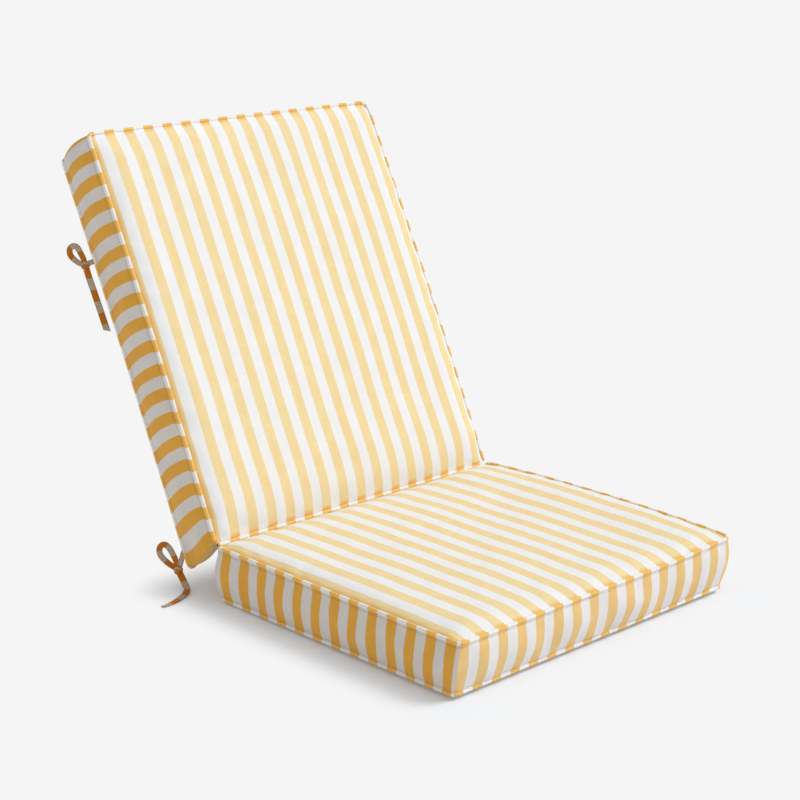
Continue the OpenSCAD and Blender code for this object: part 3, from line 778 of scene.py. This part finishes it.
def cover(pad):
    """The pad's whole cover after simulation and one subdivision: points, places, quads and parts."""
    rows, quads, parts = lattice(pad)
    points = pad.place(rows[:, 0], rows[:, 1], rows[:, 2])
    obj = add_object(pad.name + "_cover", points, quads, LIT_PANEL_CLOTH)
    seams = seam_edges(quads, parts)
    inflated = inflate(obj, held_points(pad, rows, quads, parts, seams), CLOTH_CAP)
    obj.data.vertices.foreach_set("co", inflated.ravel())
    mesh = obj.data
    lat = mesh.attributes.new("lat", "FLOAT_VECTOR", "POINT")
    lat.data.foreach_set("vector", rows.astype(np.float32).ravel())
    part = mesh.attributes.new("part", "INT", "FACE")
    part.data.foreach_set("value", parts.astype(np.int32))
    crease = mesh.attributes.new("crease_edge", "FLOAT", "EDGE")
    crease.data.foreach_set("value", [float(tuple(sorted(e.vertices)) in seams) for e in mesh.edges])
    subdivide = obj.modifiers.new("subdivide", "SUBSURF")
    subdivide.levels = subdivide.render_levels = 1
    graph = bpy.context.evaluated_depsgraph_get()
    fine = obj.evaluated_get(graph).to_mesh()
    count = len(fine.vertices)
    fine_points = np.zeros(count * 3)
    fine.vertices.foreach_get("co", fine_points)
    fine_rows = np.zeros(count * 3, np.float32)
    fine.attributes["lat"].data.foreach_get("vector", fine_rows)
    fine_parts = np.zeros(len(fine.polygons), np.int32)
    fine.attributes["part"].data.foreach_get("value", fine_parts)
    fine_quads = np.array([tuple(p.vertices) for p in fine.polygons])
    bpy.data.objects.remove(obj)
    return fine_points.reshape(-1, 3), fine_rows.reshape(-1, 3).astype(float), fine_quads, fine_parts


# Stripe repeats on each pad, as a start, a count and a change of spacing along the way, from a fit to the
# photograph, rounded. Why the spacing changes isn't known. A yellow stripe is centred on each whole number.
ACROSS_TURNS = {"seat": (-0.19, 15.75, -0.58), "back": (-0.03, 15.73, -0.20), "hinge": (0.13, 15.53, 0)}
ALONG_TURNS = {"seat": (-12.52, 12.34, 0.55), "back": (-16.31, 17.52, -0.35)}


def stripes(turns, share):
    """Stripe coordinate in metres at a share of the way across or along a pad."""
    start, count, stretch = turns
    return (start + count * share + stretch * share ** 2 + 0.5) * STRIPE


def across_stripe(name, x):
    """Stripe coordinate in metres at x, for a pad or for the hinge."""
    return stripes(ACROSS_TURNS[name], (x + HALF_W) / (2 * HALF_W))


def cloth_coordinates(pad, part, rows):
    """Across the stripes, along them, and the distance from the nearest seam, for each point of a part."""
    x, b, c = rows.T
    v = b * pad.length
    n = c * (pad.thick - 2 * WELT_R)
    seam_n = np.minimum(n, pad.thick - 2 * WELT_R - n)
    if part in ("left", "right"):
        # at the back's foot the stripe reaches round to the bottom edge
        slipped = 0.3 * STRIPE * np.exp(-v / (8 * MM)) * pad.is_back
        return np.stack([stripes(ALONG_TURNS[pad.name], b) + slipped, n, seam_n], -1)
    across = across_stripe(pad.name, x)
    if part in ("face", "under"):
        return np.stack([across, v, np.minimum(HALF_W - np.abs(x), np.minimum(v, pad.length - v))], -1)
    return np.stack([across, n, seam_n], -1)


def shell(points, quads, normals, cloth, thickness):
    """A thin closed shell: the faces, the same faces moved inwards, and a rim. Gives corner normals too."""
    count = len(points)
    inner = points - normals * thickness
    seen = {}
    for face in quads:
        for k in range(len(face)):
            a, b = int(face[k]), int(face[(k + 1) % len(face)])
            seen[a, b] = True
    rim = [(a, b) for a, b in seen if (b, a) not in seen]
    faces = [tuple(f) for f in quads] + [tuple(int(i) + count for i in reversed(f)) for f in quads]
    corner = [normals[i] for f in quads for i in f] + [-normals[i] for f in quads for i in reversed(f)]
    for a, b in rim:
        faces.append((b, a, a + count, b + count))
        flat = np.cross(points[a] - points[b], inner[a] - points[a])
        flat /= max(np.linalg.norm(flat), 1e-12)
        corner += [flat] * 4
    return np.concatenate([points, inner]), faces, corner, np.concatenate([cloth, cloth])


def cut(points, quads, normals, cloth, at, keep_above):
    """The piece of a sheet above or below v = at, with its normals and cloth coordinates carried along."""
    bm = bmesh.new()
    layers = [bm.verts.layers.float_vector.new(name) for name in ("nor", "clo")]
    verts = []
    for p, n, c in zip(points, normals, cloth):
        vert = bm.verts.new(p)
        vert[layers[0]], vert[layers[1]] = n, c
        verts.append(vert)
    for q in quads:
        bm.faces.new([verts[i] for i in q])
    bmesh.ops.bisect_plane(bm, geom=bm.verts[:] + bm.edges[:] + bm.faces[:], dist=1e-7,
                           plane_co=(0, at, 0), plane_no=(0, 1, 0),
                           clear_inner=keep_above, clear_outer=not keep_above)
    bm.verts.index_update()
    out = (np.array([v.co for v in bm.verts]).reshape(-1, 3),
           [tuple(v.index for v in f.verts) for f in bm.faces],
           np.array([v[layers[0]] for v in bm.verts]).reshape(-1, 3),
           np.array([v[layers[1]] for v in bm.verts]).reshape(-1, 3))
    bm.free()
    return out


def in_row(pad, points, faces):
    """Points in the row frame, and faces turned over if the pad frame is a mirrored one."""
    if pad.matrix.determinant() < 0:
        faces = [tuple(reversed(f)) for f in faces]
    return transformed(points, pad.matrix), faces


def add_shell(pad, name, sheet, material):
    """A sheet of cover as a thin shell in the row frame."""
    points, quads, normals, cloth = sheet
    solid, faces, corner, fine_cloth = shell(points, quads, normals, cloth, CLOTH)
    corner = transformed(corner, pad.matrix.to_3x3())
    if pad.matrix.determinant() < 0:
        starts = np.cumsum([0] + [len(f) for f in faces])
        corner = np.concatenate([corner[a:b][::-1] for a, b in zip(starts[:-1], starts[1:])])
    moved, faces = in_row(pad, solid, faces)
    return add_object(name, moved, faces, material, fine_cloth, corner)


NEAR_NODES = {"seat": ("seat_rear_boxing_upper", "seat_rear_boxing_lower"),
              "back": ("back_bottom_boxing_front", "back_bottom_boxing_rear")}
PANEL_NODES = {"seat": ("seat_top_panel", "seat_bottom_panel", "seat_front_boxing"),
               "back": ("back_front_panel", "back_rear_panel", "back_top_boxing")}


def parts_of(pad):
    """Each part's name, the CAD nodes that it stands for, and its cloth."""
    face, under, far = PANEL_NODES[pad.name]
    upper, lower = NEAR_NODES[pad.name]
    return (("face", (face,), LIT_PANEL_CLOTH), ("under", (under,), LIT_PANEL_CLOTH), ("far", (far,), HALF_SHADED_END_CLOTH),
            ("left", (pad.name + "_left_boxing",), SHADED_SIDE_CLOTH),
            ("right", (pad.name + "_right_boxing",), SHADED_SIDE_CLOTH),
            ("near_upper", (upper,), HALF_SHADED_END_CLOTH), ("near_lower", (lower,), HALF_SHADED_END_CLOTH),
            ("near_left", (upper, lower), HALF_SHADED_END_CLOTH), ("near_right", (upper, lower), HALF_SHADED_END_CLOTH))


def settle(obj, pad, nodes):
    """Rides a piece on its pad and hides the CAD nodes it stands for."""
    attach(obj, pad.name)
    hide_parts(*nodes)
    return obj


def flatten(obj):
    """Gives the piece a mesh of its own."""
    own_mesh(obj)


def add_cover(pad):
    """Every panel and boxing strip of a pad."""
    points, rows, quads, parts = cover(pad)
    for part, nodes, material in parts_of(pad):
        chosen = quads[parts == PARTS.index(part)]
        used, local = np.unique(chosen, return_inverse=True)
        local = local.reshape(chosen.shape)
        cloth = cloth_coordinates(pad, part, rows[used])
        sheet = (points[used], [tuple(q) for q in local], corner_normals(points[used], local), cloth)
        name = nodes[0] + ("_cover" if len(nodes) == 1 else part[4:] + "_end")
        if pad.is_back and part in ("under", "left", "right"):
            main = add_shell(pad, name, cut(*sheet, HINGE_GAP, True), material)
            settle(main, pad, nodes)
            foot = add_shell(pad, name + "_foot", cut(*sheet, HINGE_GAP, False), material)
            flatten(settle(foot, pad, nodes))
            continue
        obj = settle(add_shell(pad, name, sheet, material), pad, nodes)
        if part == "face":
            flatten(obj)
        if part in ("near_left", "near_right"):
            flatten(obj)


FILLING_CLEAR = 12.5 * MM
FIBRE_INSET = 11 * MM
FOAM_INSET = 22 * MM


def add_filling(pad):
    """The fibre wrap and the foam core: the cover's own shape, drawn in. They keep back from the hinge and
    below the face, where the pads fold together."""
    rows, quads, _ = lattice(pad)
    points = pad.place(rows[:, 0], rows[:, 1], rows[:, 2])
    normals = corner_normals(points, quads)
    for kind, inset, material in (("fibre_wrap", FIBRE_INSET, FIBRE), ("foam_core", FOAM_INSET, FOAM)):
        inner = points - normals * inset
        inner[:, 1] = np.maximum(inner[:, 1], FILLING_CLEAR + inset - FIBRE_INSET)
        inner[:, 2] = np.clip(inner[:, 2], inset / 2 - pad.thick, 8 * MM - inset)
        moved, faces = in_row(pad, inner, [tuple(q) for q in quads])
        node = f"{pad.name}_{kind}"
        settle(add_object(node + "_soft", moved, faces, material), pad, (node,))


# ---- piping ----

PIPING_SIDES = 12
HINGE_SIDES = 14
# piping has no stitch line of its own, so its cloth counts as this far from a seam
OFF_SEAM = 20 * MM


def tube(path, radius, sides):
    """Points, quads and path index of each point for a round tube along a path."""
    count = len(path)
    tangents = np.gradient(path, axis=0)
    tangents /= np.linalg.norm(tangents, axis=1, keepdims=True)
    side = np.cross(tangents[0], (0.0, 0.0, 1.0))
    if np.linalg.norm(side) < 0.1:
        side = np.cross(tangents[0], (0.0, 1.0, 0.0))
    points = []
    for p, t in zip(path, tangents):
        side = side - t * (side @ t)
        side /= np.linalg.norm(side)
        up = np.cross(t, side)
        for k in range(sides):
            a = 2 * math.pi * k / sides
            points.append(p + radius * (math.cos(a) * side + math.sin(a) * up))
    return np.array(points), ring_quads(count, sides), np.repeat(np.arange(count), sides)


def seam_line(pad, c, pieces):
    """Lattice rows along a ring of piping at face (c 0) or underneath (c 1). pieces are ways round it."""
    fine = 3.5 * MM
    rows = []
    for start, end in pieces:
        run = max(abs(end[0] - start[0]), abs(end[1] - start[1]) * pad.length)
        count = max(2, int(run / fine))
        for i in range(count):
            t = i / count
            rows.append((start[0] + (end[0] - start[0]) * t, start[1] + (end[1] - start[1]) * t, c))
    rows.append((*pieces[-1][1], c))
    return np.array(rows)


def add_piping(pad, name, node, rows):
    """A run of piping along lattice rows, its dashes in line with the stripes beside it."""
    path = pad.place(rows[:, 0], rows[:, 1], rows[:, 2])
    points, quads, owner = tube(path, WELT_R - 0.3 * MM, PIPING_SIDES)
    along_side = np.abs(np.abs(rows[:, 0]) - HALF_W) < 1e-6
    stripe = np.where(along_side, stripes(ALONG_TURNS[pad.name], rows[:, 1]),
                      across_stripe(pad.name, rows[:, 0]))
    around = np.tile(np.arange(PIPING_SIDES) * WELT_R * 2 * math.pi / PIPING_SIDES, len(path))
    cloth = np.stack([stripe[owner], around, np.full(len(points), OFF_SEAM)], -1)
    moved, faces = in_row(pad, points, quads)
    sleeve = settle(add_object(name, moved, faces, PIPING_CLOTH, cloth), pad, (node,))
    return sleeve, add_core(pad, name, node, path)


def add_core(pad, name, node, path):
    """The cord inside a run of piping."""
    points, quads, _ = tube(path, WELT_R - 1.4 * MM, 8)
    moved, faces = in_row(pad, points, quads)
    core = add_object(name.replace("sleeve", "core"), moved, faces, WELT_CORD)
    return settle(core, pad, (node + "_cord",))


def add_all_piping(seat, back):
    """Both rings of each pad and the piping that the two pads share at the hinge."""
    w = HALF_W
    for pad, node in ((seat, "seat_top_welt"), (back, "back_front_welt")):
        low = (WELT_R + 0.3 * MM) / pad.length
        open_way = [((-w, low), (-w, 1)), ((-w, 1), (w, 1)), ((w, 1), (w, low))]
        for obj in add_piping(pad, node + "_sleeve", node, seam_line(pad, 0, open_way)):
            flatten(obj)
    ring = [((-w, 0), (-w, 1)), ((-w, 1), (w, 1)), ((w, 1), (w, 0)), ((w, 0), (-w, 0))]
    add_piping(seat, "seat_bottom_welt_sleeve", "seat_bottom_welt", seam_line(seat, 1, ring))
    # the back's lower ring is in runs: above the foot, along the zip, and one for each sagging corner
    rows = seam_line(back, 1, ring)
    path = back.place(rows[:, 0], rows[:, 1], rows[:, 2])
    sags = path[:, 1] < HINGE_GAP - 0.5 * MM
    edges = np.nonzero(sags[1:] != sags[:-1])[0] + 1
    bounds = [0, *edges, len(rows) - 1]
    for number, (start, end) in enumerate(zip(bounds[:-1], bounds[1:])):
        if end - start < 2:
            continue
        run = add_piping(back, f"back_rear_welt_sleeve_{number}", "back_rear_welt", rows[start:end + 1])
        if sags[(start + end) // 2]:
            for obj in run:
                flatten(obj)
    xs = np.linspace(-w, w, 140)
    path = np.stack([xs, 0 * xs, 0 * xs], -1)
    points, quads, owner = tube(path, WELT_R, HINGE_SIDES)
    around = np.tile(np.arange(HINGE_SIDES) * WELT_R * 2 * math.pi / HINGE_SIDES, len(xs))
    cloth = np.stack([across_stripe("hinge", xs[owner]), around, np.full(len(points), OFF_SEAM)], -1)
    moved, faces = in_row(seat, points, quads)
    sleeve = add_object("hinge_welt_sleeve", moved, faces, PIPING_CLOTH, cloth)
    settle(sleeve, seat, ("hinge_welt",))


# ---- zips and what is inside ----

TOOTH_PITCH = 1.5 * MM


def box_mesh(low, high):
    """Points and faces of a box."""
    points = [[(low, high)[i][0], (low, high)[j][1], (low, high)[k][2]]
              for i in (0, 1) for j in (0, 1) for k in (0, 1)]
    faces = [(0, 1, 3, 2), (4, 6, 7, 5), (0, 4, 5, 1), (2, 3, 7, 6), (0, 2, 6, 4), (1, 5, 7, 3)]
    return np.array(points), faces


def add_teeth(pad):
    """Two rows of zip teeth, each one reaching between two of the other row."""
    middle, face = -pad.thick / 2, HINGE_GAP - CLOTH / 2 - 0.1 * MM
    points, faces = [], []
    count = int(2 * ZIP_HALF / TOOTH_PITCH)
    for side in (-1, 1):
        for i in range(count):
            x = -ZIP_HALF + (i + (0.25 if side < 0 else 0.75)) * TOOTH_PITCH
            reach = sorted((middle + side * 0.42 * MM, middle + side * 2.6 * MM))
            low = (x - 0.45 * MM, face - 0.55 * MM, reach[0])
            high = (x + 0.45 * MM, face + 1.1 * MM, reach[1])
            box_points, box_faces = box_mesh(low, high)
            faces += [tuple(corner + len(points) for corner in face_corners) for face_corners in box_faces]
            points += list(box_points)
    moved, faces = in_row(pad, np.array(points), faces)
    obj = add_object(pad.name + "_zip_teeth", moved, faces, ZIP_COIL, smooth=False)
    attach(obj, pad.name)
    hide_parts(pad.name + "_zip_coils")


def paint_inside():
    """Gives the frame's hidden and hard parts their substance."""
    finishes = {"hinge_welt_cord": WELT_CORD, "zip_tapes": ZIP_TAPE, "zip_stops": ZIP_METAL,
                "zip_slider": ZIP_METAL, "zip_pull": ZIP_METAL}
    for name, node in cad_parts.items():
        for ending, material in finishes.items():
            if name.endswith(ending):
                node.data.materials.clear()
                node.data.materials.append(material)


# ---- stage ----

def floor_paint():
    """Pale floor. Away from the cushion it is evenly bright, so that only near shadows show."""
    tree = Tree("floor")
    place = tree.add("ShaderNodeTexCoord").outputs["Object"]
    parts = tree.add("ShaderNodeSeparateXYZ", {0: place}).outputs
    out_x = tree.maths("MAXIMUM", tree.maths("SUBTRACT", tree.maths("ABSOLUTE", parts[0]), HALF_W), 0.0)
    middle, half_y = 0.03, SEAT_DEPTH / 2 + 0.03
    from_middle = tree.maths("ABSOLUTE", tree.maths("SUBTRACT", parts[1], middle))
    out_y = tree.maths("MAXIMUM", tree.maths("SUBTRACT", from_middle, half_y), 0.0)
    away = tree.maths("SQRT", tree.maths("ADD", tree.maths("MULTIPLY", out_x, out_x),
                                         tree.maths("MULTIPLY", out_y, out_y)))
    share = tree.ramp(away, 0.0, 0.09, 0.1, 1.0, smooth=True)
    material = tree.finish(rgb(232, 236, 242), 1.0, specular=0.0)
    glow = tree.add("ShaderNodeEmission", {"Color": rgb(245, 245, 245), "Strength": 1.0})
    either = tree.add("ShaderNodeMixShader", {0: share})
    tree.links.new(tree.shader.outputs[0], either.inputs[1])
    tree.links.new(glow.outputs[0], either.inputs[2])
    tree.links.new(either.outputs[0], tree.nodes["Material Output"].inputs[0])
    return material


def add_stage():
    """A pale floor, an even pale surround and one soft light from the front right."""
    size = 30
    corners = [(-size, -size, 0), (size, -size, 0), (size, size, 0), (-size, size, 0)]
    floor = add_object("floor", corners, [(0, 1, 2, 3)], floor_paint())
    floor.location.z = -0.2 * MM
    world = bpy.data.worlds.new("surround")
    world.use_nodes = True
    nodes, links = world.node_tree.nodes, world.node_tree.links
    light = nodes["Background"]
    light.inputs[0].default_value = (1, 1, 1, 1)
    light.inputs[1].default_value = 0.60
    seen = nodes.new("ShaderNodeBackground")
    seen.inputs[0].default_value = rgb(245, 245, 245)
    either = nodes.new("ShaderNodeMixShader")
    path = nodes.new("ShaderNodeLightPath")
    links.new(path.outputs["Is Camera Ray"], either.inputs[0])
    links.new(light.outputs[0], either.inputs[1])
    links.new(seen.outputs[0], either.inputs[2])
    links.new(either.outputs[0], nodes["World Output"].inputs[0])
    bpy.context.scene.world = world
    sun = bpy.data.objects.new("key", bpy.data.lights.new("key", "SUN"))
    sun.data.energy = 2.14
    sun.data.angle = math.radians(28)
    sun.rotation_mode = "QUATERNION"
    sun.rotation_quaternion = Vector((0.547, -0.437, 0.715)).to_track_quat("Z", "Y")
    bpy.context.scene.collection.objects.link(sun)
    bpy.context.scene.view_settings.view_transform = "Standard"


SEAT = Pad("seat", SEAT_DEPTH, SEAT_THICK, SEAT_FRAME, 11)
BACK = Pad("back", BACK_LENGTH, BACK_THICK, BACK_FRAME, 23)
for one_pad in (SEAT, BACK):
    add_cover(one_pad)
    add_filling(one_pad)
    add_teeth(one_pad)
add_all_piping(SEAT, BACK)
paint_inside()
add_stage()
